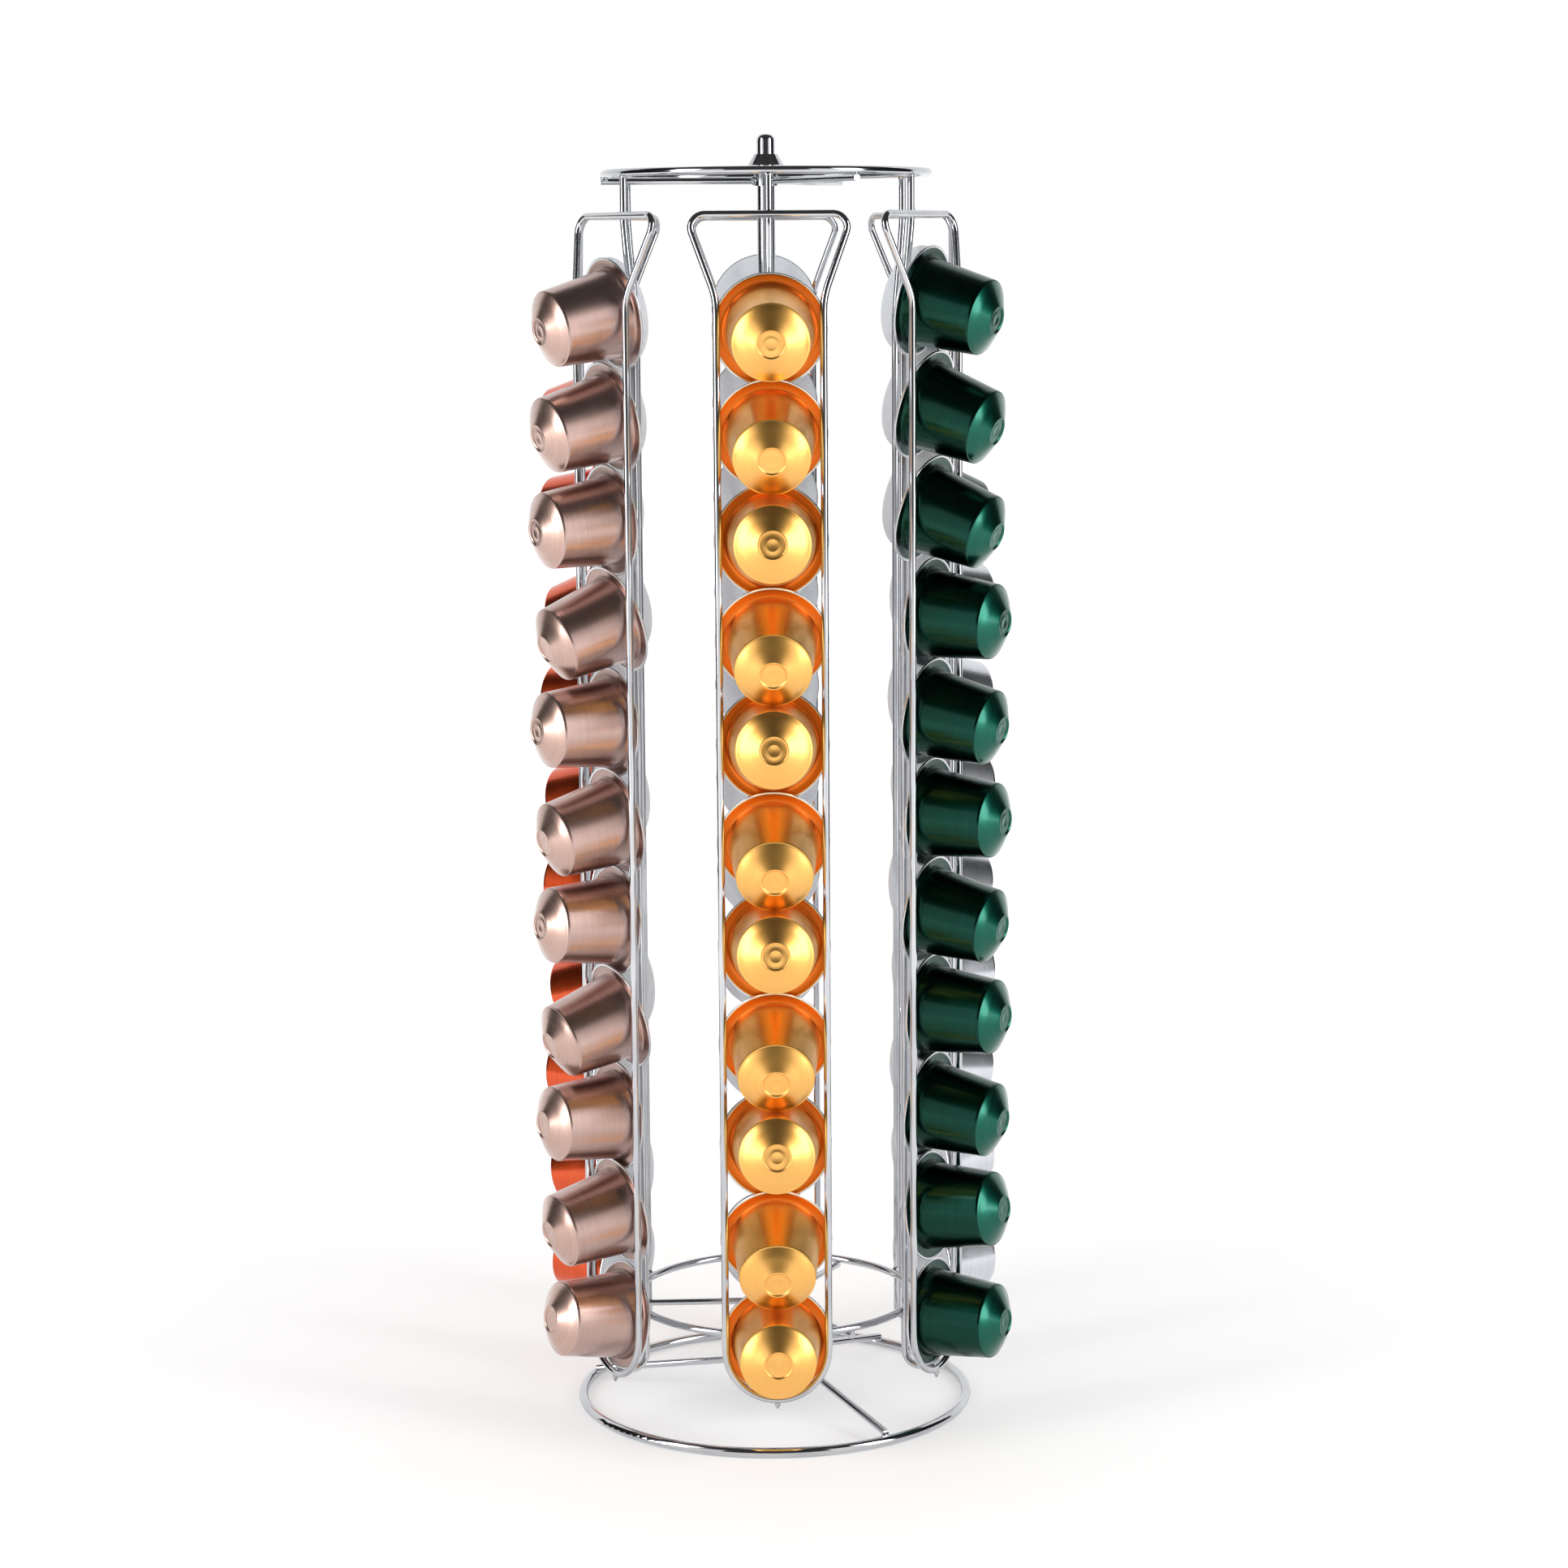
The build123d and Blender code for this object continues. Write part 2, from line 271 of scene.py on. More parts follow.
class NodeTree:
    """A short way to fill a shader node tree."""

    def __init__(self, tree: bpy.types.NodeTree) -> None:
        """Take the tree to fill."""
        self.tree = tree

    def feed(self, node: bpy.types.Node, **settings: object) -> None:
        """Set a node's inputs, to a value or from another node's socket.

        Args:
            node: the node to feed.
            settings: its inputs, by name with spaces as _, or by number after a _.
        """
        for name, value in settings.items():
            key = int(name[1:]) if name[0] == "_" else name.replace("_", " ")
            if isinstance(value, bpy.types.NodeSocket):
                self.tree.links.new(value, node.inputs[key])
            else:
                node.inputs[key].default_value = value

    def add(self, kind: str, **settings: object) -> bpy.types.Node:
        """Add a node.

        Args:
            kind: the node's type.
            settings: its properties, and its inputs as feed takes them.

        Returns:
            The new node.
        """
        node = self.tree.nodes.new(kind)
        inputs = {}
        for name, value in settings.items():
            if hasattr(node, name):
                setattr(node, name, value)
            else:
                inputs[name] = value
        self.feed(node, **inputs)
        return node

    def mix(self, share: object, low: object, high: object) -> bpy.types.NodeSocket:
        """Mix two colours.

        Args:
            share: how much of the second colour there is, a number or a socket.
            low: the first colour.
            high: the second colour.

        Returns:
            The socket of the mixed colour.
        """
        # A Mix node's colours are its inputs 6 and 7 and its output 2, counted from 0
        return self.add("ShaderNodeMix", data_type="RGBA", _0=share, _6=low, _7=high).outputs[2]

    def ramp(
        self, value: bpy.types.NodeSocket, taken: Pair, given: Pair = (0.0, 1.0)
    ) -> bpy.types.NodeSocket:
        """Map a value from one range to another, held at its ends.

        Args:
            value: the socket to map.
            taken: the lowest and highest value in.
            given: the lowest and highest value out.

        Returns:
            The socket of the mapped value.
        """
        node = self.add(
            "ShaderNodeMapRange", _0=value, _1=taken[0], _2=taken[1], _3=given[0], _4=given[1]
        )
        return node.outputs[0]

    def math(self, operation: str, *values: object) -> bpy.types.NodeSocket:
        """Work out a number.

        Args:
            operation: what the Math node does.
            values: the numbers or sockets that it takes.

        Returns:
            The socket of the result.
        """
        inputs = {f"_{index}": value for index, value in enumerate(values)}
        return self.add("ShaderNodeMath", operation=operation, **inputs).outputs[0]

    def bump(self, height: bpy.types.NodeSocket, strength: float, depth: float) -> bpy.types.NodeSocket:
        """Turn a height into a bumped normal.

        Args:
            height: the socket of the height.
            strength: how much of the bump shows.
            depth: how high the bump is, in metres.

        Returns:
            The socket of the normal.
        """
        return self.add("ShaderNodeBump", Strength=strength, Distance=depth, Height=height).outputs[0]


def rgba(colour: Colour) -> tuple[float, float, float, float]:
    """A colour with full alpha."""
    return (*colour, 1.0)


def new_group(name: str, inputs: dict[str, tuple[str, float]], outputs: dict[str, str]) -> bpy.types.NodeTree:
    """Make an empty shader node group with named sockets.

    Args:
        name: name of the group.
        inputs: kind and default value of each input.
        outputs: kind of each output.

    Returns:
        The group's node tree.
    """
    group = bpy.data.node_groups.new(name, "ShaderNodeTree")
    for label, (kind, default) in inputs.items():
        socket = group.interface.new_socket(label, in_out="INPUT", socket_type=f"NodeSocket{kind}")
        if kind == "Float":
            socket.default_value = default
    for label, kind in outputs.items():
        group.interface.new_socket(label, in_out="OUTPUT", socket_type=f"NodeSocket{kind}")
    return group


@dataclass
class SurfaceGroups:
    """The shader node groups that more than one finish uses."""

    cloud_detail: float = 3.0
    cloud_reach: Pair = (0.35, 0.68)
    speck_detail: float = 2.0
    specks_per_cloud: float = 11.0
    grain_detail: float = 3.0
    grain_apart: float = 57.0
    grain_round: float = 0.05
    groups: dict[str, bpy.types.NodeTree] = field(default_factory=dict)

    def build(self) -> None:
        """Build each group once."""
        self.groups["handling"] = self.handling()
        self.groups["turned_grain"] = self.turned_grain()
        log.info("node groups: %s", ", ".join(self.groups))

    def handling(self) -> bpy.types.NodeTree:
        """Soft clouds and fine specks, for the uneven gloss of a surface that is handled.

        Returns:
            The group's node tree.
        """
        group = new_group(
            "handling",
            {"Vector": ("Vector", 0), "Scale": ("Float", 40), "Low": ("Float", 0), "High": ("Float", 1)},
            {"Roughness": "Float", "Mask": "Float", "Height": "Float"},
        )
        tree = NodeTree(group)
        given = tree.add("NodeGroupInput").outputs
        clouds = tree.add(
            "ShaderNodeTexNoise", Vector=given["Vector"], Scale=given["Scale"], Detail=self.cloud_detail
        )
        finer = tree.math("MULTIPLY", given["Scale"], self.specks_per_cloud)
        specks = tree.add(
            "ShaderNodeTexNoise", Vector=given["Vector"], Scale=finer, Detail=self.speck_detail
        )
        mask = tree.ramp(clouds.outputs[0], self.cloud_reach)
        span = tree.math("SUBTRACT", given["High"], given["Low"])
        gloss = tree.math("MULTIPLY_ADD", mask, span, given["Low"])
        tree.add("NodeGroupOutput", Roughness=gloss, Mask=mask, Height=specks.outputs[0])
        return group

    def turned_grain(self) -> bpy.types.NodeTree:
        """Fine rings about a turned piece's axis, and its radius on the unmoved piece.

        Returns:
            The group's node tree.
        """
        group = new_group(
            "turned_grain",
            {"Place": ("Vector", 0), "Rings": ("Float", 6.0), "Tone": ("Float", 0.0)},
            {"Grain": "Float", "Radius": "Float"},
        )
        tree = NodeTree(group)
        given = tree.add("NodeGroupInput").outputs
        parts = tree.add("ShaderNodeSeparateXYZ", Vector=given["Place"]).outputs
        flat = tree.add("ShaderNodeCombineXYZ", X=parts["X"], Y=parts["Y"])
        radius = tree.add("ShaderNodeVectorMath", operation="LENGTH", _0=flat.outputs[0]).outputs["Value"]
        path = tree.math("SUBTRACT", parts["Z"], radius)
        rings = tree.math("MULTIPLY", path, given["Rings"])
        apart = tree.math("MULTIPLY_ADD", given["Tone"], self.grain_apart, rings)
        slow = tree.add(
            "ShaderNodeVectorMath", operation="SCALE", _0=flat.outputs[0], Scale=self.grain_round
        )
        slow_parts = tree.add("ShaderNodeSeparateXYZ", Vector=slow.outputs[0]).outputs
        point = tree.add("ShaderNodeCombineXYZ", X=slow_parts["X"], Y=slow_parts["Y"], Z=apart)
        grain = tree.add(
            "ShaderNodeTexNoise", Vector=point.outputs[0], Scale=1.0, Detail=self.grain_detail
        )
        tree.add("NodeGroupOutput", Grain=grain.outputs[0], Radius=radius)
        return group

    def place(self, tree: NodeTree, name: str, **settings: object) -> bpy.types.NodeOutputs:
        """Place one of the groups in a material.

        Args:
            tree: the material's node tree.
            name: name of the group.
            settings: its input values.

        Returns:
            The group's outputs, by name.
        """
        return tree.add("ShaderNodeGroup", node_tree=self.groups[name], **settings).outputs

    def worn(
        self, tree: NodeTree, point: bpy.types.NodeSocket, scale: float, gloss: Pair
    ) -> bpy.types.NodeOutputs:
        """Place the handling group.

        Args:
            tree: the material's node tree.
            point: where on the piece its clouds are read.
            scale: how fine they are.
            gloss: the lowest and highest roughness.

        Returns:
            The group's outputs, by name.
        """
        return self.place(tree, "handling", Vector=point, Scale=scale, Low=gloss[0], High=gloss[1])


surfaces = SurfaceGroups()


def new_material(name: str) -> tuple[bpy.types.Material, NodeTree, bpy.types.Node]:
    """Make a material with a lone Principled shader.

    Args:
        name: name of the material.

    Returns:
        The material, its node tree and its shader node.
    """
    material = bpy.data.materials.new(name)
    material.use_nodes = True
    return material, NodeTree(material.node_tree), material.node_tree.nodes["Principled BSDF"]


@dataclass(frozen=True)
class ChromeFinish:
    """Bright chrome plate on drawn wire."""

    name: str = "chrome_plate"
    colour: Colour = (0.60, 0.61, 0.63)
    shade: Colour = (0.50, 0.51, 0.54)
    cloud_scale: float = 55.0
    gloss: Pair = (0.07, 0.13)
    bump: float = 0.012
    bump_depth: float = 0.00003

    def build(self) -> bpy.types.Material:
        """Build the material.

        Returns:
            The material.
        """
        material, tree, shader = new_material(self.name)
        here = tree.add("ShaderNodeTexCoord").outputs["Object"]
        worn = surfaces.worn(tree, here, self.cloud_scale, self.gloss)
        plate = tree.mix(worn["Mask"], rgba(self.colour), rgba(self.shade))
        bump = tree.bump(worn["Height"], self.bump, self.bump_depth)
        tree.feed(shader, Metallic=1.0, Base_Color=plate, Roughness=worn["Roughness"], Normal=bump)
        return material


@dataclass(frozen=True)
class AnodisedFinish:
    """Coloured aluminium under a clear lacquer, with fine drawn rings and painted shade that deepens the
    colour across the flange.
    """

    name: str
    colour: Colour
    depth: Colour
    # Painted shade: the deeper colour that the flange web takes, standing in for the shade and reflections
    # between the cup and its flange
    flange_colour_and_painted_shade: Colour
    gloss: Pair = (0.24, 0.30)
    cloud_scale: float = 0.05
    anisotropy: float = 0.3
    rings: float = 5.0
    bump: float = 0.05
    bump_depth: float = 0.0001
    grain_reach: Pair = (0.35, 0.65)
    lacquer: float = 0.5
    lacquer_gloss: float = 0.12
    painted_flange_shade_span: Pair = (14.7, 15.1)

    def build(self) -> bpy.types.Material:
        """Build the material.

        Returns:
            The material.
        """
        material, tree, shader = new_material(self.name)
        own = tree.add("ShaderNodeAttribute", attribute_name="own_place").outputs["Vector"]
        tone = tree.add("ShaderNodeAttribute", attribute_name="copy_tone").outputs["Fac"]
        turned = surfaces.place(tree, "turned_grain", Place=own, Rings=self.rings, Tone=tone)
        worn = surfaces.worn(tree, own, self.cloud_scale, self.gloss)
        lines = tree.ramp(turned["Grain"], self.grain_reach)
        tint = tree.mix(lines, rgba(self.colour), rgba(self.depth))
        # Painted shade: from the foot of the side outward, the flange web takes the deeper colour in place of
        # the shade and reflections there
        painted_flange_shade_mask = tree.ramp(turned["Radius"], self.painted_flange_shade_span)
        tint_with_painted_flange_shade = tree.mix(painted_flange_shade_mask, tint, rgba(self.flange_colour_and_painted_shade))
        tangent = tree.add("ShaderNodeTangent", direction_type="UV_MAP", uv_map="round_and_along")
        tree.feed(
            shader,
            Metallic=1.0,
            Anisotropic=self.anisotropy,
            Coat_Weight=self.lacquer,
            Coat_Roughness=self.lacquer_gloss,
            Base_Color=tint_with_painted_flange_shade,
            Roughness=worn["Roughness"],
            Normal=tree.bump(turned["Grain"], self.bump, self.bump_depth),
            Tangent=tangent.outputs[0],
        )
        return material


@dataclass(frozen=True)
class FoilFinish:
    """Bright lid foil with the faint creases that its sealing leaves."""

    name: str = "lid_foil_bright"
    colour: Colour = (0.93, 0.955, 0.99)
    shade: Colour = (0.87, 0.90, 0.945)
    metal: float = 0.06
    gloss: Pair = (0.30, 0.42)
    cloud_scale: float = 0.12
    crease_scale: float = 0.22
    crease_scatter: float = 0.9
    crease_width: float = 0.12
    bump: float = 0.2
    bump_depth: float = 0.00008

    def build(self) -> bpy.types.Material:
        """Build the material.

        Returns:
            The material.
        """
        material, tree, shader = new_material(self.name)
        own = tree.add("ShaderNodeAttribute", attribute_name="own_place").outputs["Vector"]
        worn = surfaces.worn(tree, own, self.cloud_scale, self.gloss)
        creases = tree.add(
            "ShaderNodeTexVoronoi",
            feature="DISTANCE_TO_EDGE",
            Vector=own,
            Scale=self.crease_scale,
            Randomness=self.crease_scatter,
        )
        folds = tree.ramp(creases.outputs["Distance"], (0.0, self.crease_width))
        tint = tree.mix(worn["Mask"], rgba(self.colour), rgba(self.shade))
        bump = tree.bump(folds, self.bump, self.bump_depth)
        tree.feed(shader, Metallic=self.metal, Base_Color=tint, Roughness=worn["Roughness"], Normal=bump)
        return material


@dataclass(frozen=True)
class NylonFinish:
    """Moulded nylon of the washer that the cage turns on."""

    name: str = "washer_nylon"
    colour: Colour = (0.80, 0.79, 0.75)
    shade: Colour = (0.66, 0.65, 0.61)
    gloss: Pair = (0.42, 0.6)
    cloud_scale: float = 180.0
    bump: float = 0.1
    bump_depth: float = 0.0001
    glow_through: float = 0.05

    def build(self) -> bpy.types.Material:
        """Build the material.

        Returns:
            The material.
        """
        material, tree, shader = new_material(self.name)
        here = tree.add("ShaderNodeTexCoord").outputs["Object"]
        worn = surfaces.worn(tree, here, self.cloud_scale, self.gloss)
        tree.feed(
            shader,
            Subsurface_Weight=self.glow_through,
            Base_Color=tree.mix(worn["Mask"], rgba(self.colour), rgba(self.shade)),
            Roughness=worn["Roughness"],
            Normal=tree.bump(worn["Height"], self.bump, self.bump_depth),
        )
        return material


# Painted shade: each side colour is darker than the nose colour of the same capsule, by far the most for
# green, in place of the dark surroundings that the sides reflect; the gold side matches its nose, and every
# side's flange colour is painted shade too
SIDE_FINISHES_WITH_PAINTED_SHADE: dict[CapsuleColour, AnodisedFinish] = {
    CapsuleColour.GOLD: AnodisedFinish(
        "anodised_gold_side_painted_shade",
        colour=(0.99, 0.55, 0.13),
        depth=(0.97, 0.49, 0.10),
        flange_colour_and_painted_shade=(0.80, 0.17, 0.010),
        gloss=(0.36, 0.42),
        anisotropy=0.0,
        lacquer=0.2,
    ),
    CapsuleColour.COPPER: AnodisedFinish(
        "anodised_copper_side_painted_shade",
        colour=(0.58, 0.405, 0.365),
        depth=(0.49, 0.335, 0.30),
        flange_colour_and_painted_shade=(0.40, 0.26, 0.22),
        gloss=(0.30, 0.34),
        anisotropy=0.0,
        rings=9.0,
    ),
    CapsuleColour.GREEN: AnodisedFinish(
        "anodised_green_side_painted_shade",
        colour=(0.004, 0.052, 0.034),
        depth=(0.003, 0.040, 0.026),
        flange_colour_and_painted_shade=(0.006, 0.045, 0.034),
        lacquer=0.2,
    ),
    CapsuleColour.RED: AnodisedFinish(
        "anodised_red_side_painted_shade", colour=(0.78, 0.11, 0.028), depth=(0.70, 0.08, 0.02), flange_colour_and_painted_shade=(0.6, 0.06, 0.015)
    ),
    CapsuleColour.SILVER: AnodisedFinish(
        "bare_silver_side_painted_shade", colour=(0.74, 0.76, 0.80), depth=(0.64, 0.66, 0.71), flange_colour_and_painted_shade=(0.66, 0.68, 0.72)
    ),
}
# The nose colours stand for the capsules' own colours; the sides are painted darker against them
NOSE_FINISHES: dict[CapsuleColour, AnodisedFinish] = {
    CapsuleColour.GOLD: AnodisedFinish(
        "anodised_gold_nose",
        colour=(0.98, 0.54, 0.14),
        depth=(0.95, 0.48, 0.11),
        flange_colour_and_painted_shade=(0.95, 0.48, 0.11),
        gloss=(0.30, 0.36),
        anisotropy=0.5,
    ),
    CapsuleColour.COPPER: AnodisedFinish(
        "anodised_copper_nose",
        colour=(0.62, 0.43, 0.37),
        depth=(0.54, 0.35, 0.29),
        flange_colour_and_painted_shade=(0.54, 0.35, 0.29),
        gloss=(0.26, 0.32),
        anisotropy=0.5,
    ),
    CapsuleColour.GREEN: AnodisedFinish(
        "anodised_green_nose",
        colour=(0.009, 0.118, 0.080),
        depth=(0.006, 0.092, 0.060),
        flange_colour_and_painted_shade=(0.006, 0.092, 0.060),
        anisotropy=0.5,
        lacquer=0.35,
    ),
    CapsuleColour.RED: AnodisedFinish(
        "anodised_red_nose", colour=(0.80, 0.16, 0.05), depth=(0.70, 0.11, 0.03), flange_colour_and_painted_shade=(0.7, 0.11, 0.03)
    ),
    CapsuleColour.SILVER: AnodisedFinish(
        "bare_silver_nose", colour=(0.78, 0.80, 0.83), depth=(0.69, 0.71, 0.75), flange_colour_and_painted_shade=(0.69, 0.71, 0.75)
    ),
}
RIM_FINISH = AnodisedFinish(
    "bare_rim_edge",
    colour=(0.80, 0.81, 0.83),
    depth=(0.68, 0.69, 0.72),
    flange_colour_and_painted_shade=(0.76, 0.77, 0.79),
    lacquer=0.0,
)
WELD_FINISH = ChromeFinish(
    "weld_bead_plate",
    shade=(0.36, 0.37, 0.40),
    cloud_scale=700.0,
    gloss=(0.14, 0.30),
    bump=0.35,
    bump_depth=0.0001,
)


# Capsules


@dataclass
class Capsule:
    """One capsule: a turned cup and its lid, in millimetres along its axis from the lid."""

    segments: int = 64
    flange_r: float = 18.55
    web_top: float = 0.6
    body_r: float = 14.75
    shoulder_r: float = 12.5
    shoulder_at: float = 24.2
    nose_r: float = 4.6
    length: float = 28.5
    recess: float = 0.5
    wall: float = 0.8
    lid_r: float = 18.2
    lid_thickness: float = 0.2
    rim_in: float = 17.66
    rim_from: float = 17.9
    nose_round: float = 0.14
    inner_facing: float = -0.2

    def cup_profile(self) -> Profile:
        """The cup's outline, from the inside of its nose over the rolled rim to the middle of the nose.

        Returns:
            Radius and height of each ring.
        """
        top, edge, wall_top = self.web_top, self.flange_r, self.body_r
        at_shoulder, at_nose = self.shoulder_at, self.length
        shoulder, nose = self.shoulder_r, self.nose_r
        floor = at_nose - self.recess
        slope = (wall_top - shoulder) / (at_shoulder - top)
        cone = (shoulder - nose) / (at_nose - at_shoulder)
        inside = [
            (2.0, floor - self.wall),
            (nose - self.wall, floor - self.wall),
            (shoulder - self.wall, at_shoulder - self.recess),
            (wall_top - self.wall, self.lid_thickness),
        ]
        rolled_rim = [
            (edge - 0.45, self.lid_thickness),
            (edge - 0.15, 0.27),
            (edge, 0.46),
            (edge, 0.74),
            (edge - 0.13, 0.93),
            (edge - 0.40, 1.0),
            (self.rim_from, 0.95),
            (self.rim_in + 0.06, 0.80),
            (self.rim_in, 0.64),
        ]
        web_and_root = [
            (self.rim_in - 0.16, top),
            (wall_top + 1.05, top),
            (wall_top + 0.55, top + 0.04),
            (wall_top + 0.23, top + 0.2),
            (wall_top + 0.06, top + 0.5),
        ]
        outer_wall = [
            (wall_top - slope * 1.2, top + 1.2),
            (wall_top - slope * 12, top + 12),
            (shoulder + slope * 0.8, at_shoulder - 0.8),
        ]
        rounded_shoulder = [
            (shoulder + 0.03, at_shoulder - 0.28),
            (shoulder - 0.10, at_shoulder - 0.06),
            (shoulder - 0.32, at_shoulder + 0.02),
            (shoulder - 0.50, at_shoulder + 0.09),
            (shoulder - 0.80, at_shoulder + 0.38),
        ]
        nose_cone = [
            (shoulder - cone * 2.0, at_shoulder + 2.0),
            (nose + cone * 0.2, at_nose - 0.2),
            (nose, at_nose),
        ]
        recessed_disc = [
            (nose - 0.3, at_nose - 0.12),
            (nose - 0.6, floor + 0.02),
            (nose - 0.85, floor),
        ]
        pressed_ring_and_dimple = [
            (2.45, floor),
            (2.25, floor + 0.05),
            (1.75, floor + 0.05),
            (1.55, floor),
            (0.7, floor),
            (0.35, floor - 0.04),
            (0, floor - 0.04),
        ]
        return [
            *inside,
            *rolled_rim,
            *web_and_root,
            *outer_wall,
            *rounded_shoulder,
            *nose_cone,
            *recessed_disc,
            *pressed_ring_and_dimple,
        ]

    def build_cup(self) -> bpy.types.Object:
        """Model the cup.

        Returns:
            The master cup, on the Z axis, with its lid side down.
        """
        cup = turn("master_cup", self.cup_profile(), self.segments)
        bevel_ring(cup, (self.nose_r, self.length), self.nose_round, 2)
        smooth(cup, 30)
        for _ in CupSlot:
            cup.data.materials.append(None)
        for face in cup.data.polygons:
            radius, height = face.center.xy.length / MM, face.center.z / MM
            outer = face.normal.z > self.inner_facing or radius > self.body_r
            if radius > self.rim_in - 0.1:
                face.material_index = CupSlot.RIM
            elif outer and height > self.shoulder_at and radius < self.shoulder_r:
                face.material_index = CupSlot.NOSE
        keep_own_place(cup)
        wrap_uv(cup)
        return cup

    def build_lid(self) -> bpy.types.Object:
        """Model the lid, with the pressed step inside its sealed border.

        Returns:
            The master lid, on the Z axis, with its outer face down.
        """
        lid = turn(
            "master_lid",
            [
                (1.0, self.lid_thickness),
                (15.0, self.lid_thickness),
                (self.lid_r - 0.1, self.lid_thickness),
                (self.lid_r, self.lid_thickness - 0.06),
                (self.lid_r, 0.06),
                (self.lid_r - 0.1, 0.0),
                (16.2, 0.0),
                (15.7, 0.09),
                (14.9, 0.09),
                (14.5, 0.04),
                (6.0, 0.02),
                (0, 0.02),
            ],
            self.segments,
        )
        smooth(lid, 40)
        lid.data.materials.append(None)
        keep_own_place(lid)
        wrap_uv(lid)
        return lid


@dataclass
class CapsuleColumns:
    """The capsules of all columns, each one where its lid is in the frame."""

    capsule: Capsule = field(default_factory=Capsule)
    seed: int = 11
    upper_count: int = 2
    weld_reach: float = 0.001
    colours: dict[str, CapsuleColour] = field(
        default_factory=lambda: {
            "capsules_front": CapsuleColour.GOLD,
            "capsules_front_right": CapsuleColour.GREEN,
            "capsules_rear_right": CapsuleColour.SILVER,
            "upper_capsules_rear_right": CapsuleColour.GREEN,
            "capsules_rear": CapsuleColour.GOLD,
            "capsules_rear_left": CapsuleColour.RED,
            "capsules_front_left": CapsuleColour.COPPER,
            "top_capsule_front": CapsuleColour.GOLD,
            "top_capsule_front_right": CapsuleColour.GREEN,
            "top_capsule_rear_right": CapsuleColour.GREEN,
            "top_capsule_rear": CapsuleColour.GOLD,
            "top_capsule_rear_left": CapsuleColour.COPPER,
            "top_capsule_front_left": CapsuleColour.COPPER,
        }
    )
    columns: tuple[str, ...] = ("front", "front_right", "rear_right", "rear", "rear_left", "front_left")

    def places(self, lid_node: str) -> list[Matrix]:
        """Find each lid of a frame node, and the place of its capsule.

        Args:
            lid_node: name of the node that holds the lids.

        Returns:
            One place per capsule, from the bottom up.
        """
        copy = bmesh.new()
        copy.from_mesh(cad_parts[lid_node].data)
        bmesh.ops.remove_doubles(copy, verts=copy.verts, dist=self.weld_reach * MM)
        left = set(copy.verts)
        found = []
        while left:
            stack = [left.pop()]
            island = []
            while stack:
                vert = stack.pop()
                island.append(tuple(vert.co))
                for edge in vert.link_edges:
                    other = edge.other_vert(vert)
                    if other in left:
                        left.remove(other)
                        stack.append(other)
            found.append(np.array(island))
        copy.free()
        return sorted((self.place_of(island) for island in found), key=lambda place: place.translation.z)

    def place_of(self, island: np.ndarray) -> Matrix:
        """The place of a capsule from its lid's vertices.

        Args:
            island: the lid's vertices.

        Returns:
            The matrix that takes the master capsule there.
        """
        centre = island.mean(0)
        outward = Vector(np.linalg.svd(island - centre)[2][2])
        if outward.dot(Vector((centre[0], centre[1], 0))) < 0:
            outward = -outward
        across = Vector((-outward.y, outward.x, 0)).normalized()
        up = outward.cross(across)
        place = Matrix((across, up, outward)).transposed().to_4x4()
        place.translation = Vector(centre) - outward * (self.capsule.lid_thickness / 2 * MM)
        return place

    def build(self, finishes: Materials) -> None:
        """Copy the master cup and lid to every place, one piece per frame node.

        Args:
            finishes: every built material, by name.
        """
        cup, lid = self.capsule.build_cup(), self.capsule.build_lid()
        lid.data.materials[0] = finishes["lid_foil_bright"]
        draw = Random(self.seed)
        for column in self.columns:
            held, top = self.places(f"lids_{column}"), self.places(f"top_lid_{column}")
            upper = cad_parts.get(f"upper_capsules_{column}")
            split = len(held) - (self.upper_count if upper else 0)
            rider = f"{column}_lift_capsule"
            self.fill(f"capsules_{column}", cup, held[:split], "cage", finishes, draw)
            if upper:
                self.fill(f"upper_capsules_{column}", cup, held[split:], "cage", finishes, draw)
            self.fill(f"top_capsule_{column}", cup, top, rider, finishes, draw)
            self.fill(f"lids_{column}", lid, held, "cage", finishes, draw)
            self.fill(f"top_lid_{column}", lid, top, rider, finishes, draw)
        for master in (cup, lid):
            bpy.data.objects.remove(master)

    def fill(
        self,
        node: str,
        master: bpy.types.Object,
        places: list[Matrix],
        body: str,
        finishes: Materials,
        draw: Random,
    ) -> None:
        """Stand for one frame node with copies of a master piece.

        Args:
            node: name of the frame node.
            master: the master cup or lid.
            places: where the copies go.
            body: the body that they ride on.
            finishes: every built material, by name.
            draw: the source of each copy's tone and turn.
        """
        colour = self.colours.get(node)
        if colour:
            master.data.materials[CupSlot.SIDE] = finishes[SIDE_FINISHES_WITH_PAINTED_SHADE[colour].name]
            master.data.materials[CupSlot.NOSE] = finishes[NOSE_FINISHES[colour].name]
            master.data.materials[CupSlot.RIM] = finishes[RIM_FINISH.name]
        copies = [
            copy_to(master, place @ Matrix.Rotation(draw.uniform(0, 2 * pi), 4, "Z"), draw.random())
            for place in places
        ]
        piece = join(f"{node}_formed", copies)
        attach(piece, body)
        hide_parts(node)
        log.info("%s: %d copies on %s", piece.name, len(copies), body)


# Wires and welds


@dataclass
class WireCage:
    """The chrome wires, hubs and post, which keep their shape from the frame."""

    plastic_nodes: tuple[str, ...] = ("thrust_washer",)

    def dress(self, finishes: Materials) -> None:
        """Give every shown frame node its finish.

        Args:
            finishes: every built material, by name.
        """
        for name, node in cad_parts.items():
            if node.hide_render:
                continue
            finish = "washer_nylon" if name in self.plastic_nodes else "chrome_plate"
            node.data.materials.clear()
            node.data.materials.append(finishes[finish])
            log.info("%s: %s", name, finish)


